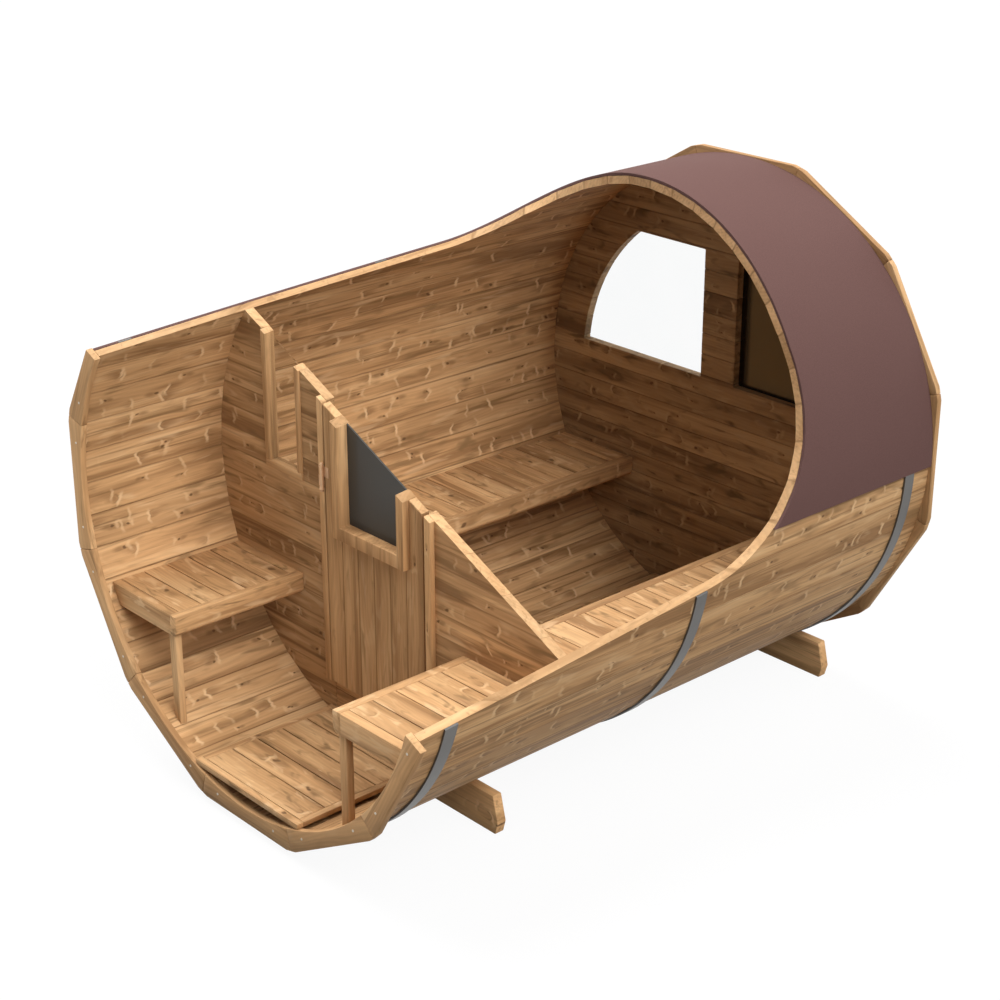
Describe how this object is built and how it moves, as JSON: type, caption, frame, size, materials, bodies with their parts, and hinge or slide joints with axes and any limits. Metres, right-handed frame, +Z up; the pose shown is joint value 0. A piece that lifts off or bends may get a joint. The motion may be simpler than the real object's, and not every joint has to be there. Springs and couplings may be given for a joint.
{
  "type": "barrel sauna",
  "caption": "Cutaway wooden barrel sauna on plank cradles: stave barrel with end rings, steel bands and roofing felt, porch benches, hinged glazed door, slatted room benches and back windows.",
  "frame": {"origin": "on the ground, under the middle of the object's box", "axes": "X across the barrel, Y along it from the porch to the back, Z up"},
  "size_m": [1.976, 2.51, 2.002],
  "materials": {
    "stave_wood": "planed, oiled",
    "trim_wood": "planed, oiled",
    "board_wood": "planed boards",
    "slat_wood": "planed slats",
    "cradle_wood": "sawn plank",
    "steel": "satin",
    "hinge_brass": "satin",
    "felt": "mineral roofing felt",
    "clear_glass": "clear",
    "bronze_glass": "bronze tinted",
    "grey_glass": "grey tinted"
  },
  "bodies": {
    "root": {"staves_right": "stave_wood", "staves_top_right": "stave_wood", "staves_top": "stave_wood", "staves_top_left": "stave_wood", "staves_left": "stave_wood", "staves_bottom_left": "stave_wood", "staves_bottom": "stave_wood", "staves_bottom_right": "stave_wood", "front_ring": "trim_wood", "back_ring": "trim_wood", "casing_left": "trim_wood", "casing_right": "trim_wood", "window_frame": "trim_wood", "porch_leg_left": "trim_wood", "porch_leg_right": "trim_wood", "cradle_front": "cradle_wood", "cradle_back": "cradle_wood", "band_front": "steel", "band_middle": "steel", "band_back": "steel", "hinge_frame_side": "hinge_brass", "roof_felt": "felt", "back_wall": "board_wood", "partition_left": "board_wood", "partition_right": "board_wood", "partition_sill": "board_wood", "back_pane_left": "clear_glass", "partition_pane": "clear_glass", "back_pane_right": "bronze_glass", "porch_floor": "slat_wood", "room_floor": "slat_wood", "porch_bench_left": "slat_wood", "porch_bench_right": "slat_wood", "room_bench_left": "slat_wood", "room_bench_right": "slat_wood"},
    "door": {"door_leaf": "board_wood", "door_light_frame": "trim_wood", "door_pane": "grey_glass", "hinge_door_side": "hinge_brass"}
  },
  "joints": [
    {"name": "door_swing", "type": "hinge", "parent": "root", "child": "door", "pos_m": [-0.275, -0.6635, 1], "axis": [0, 0, -1], "range_deg": [0, 90]}
  ]
}
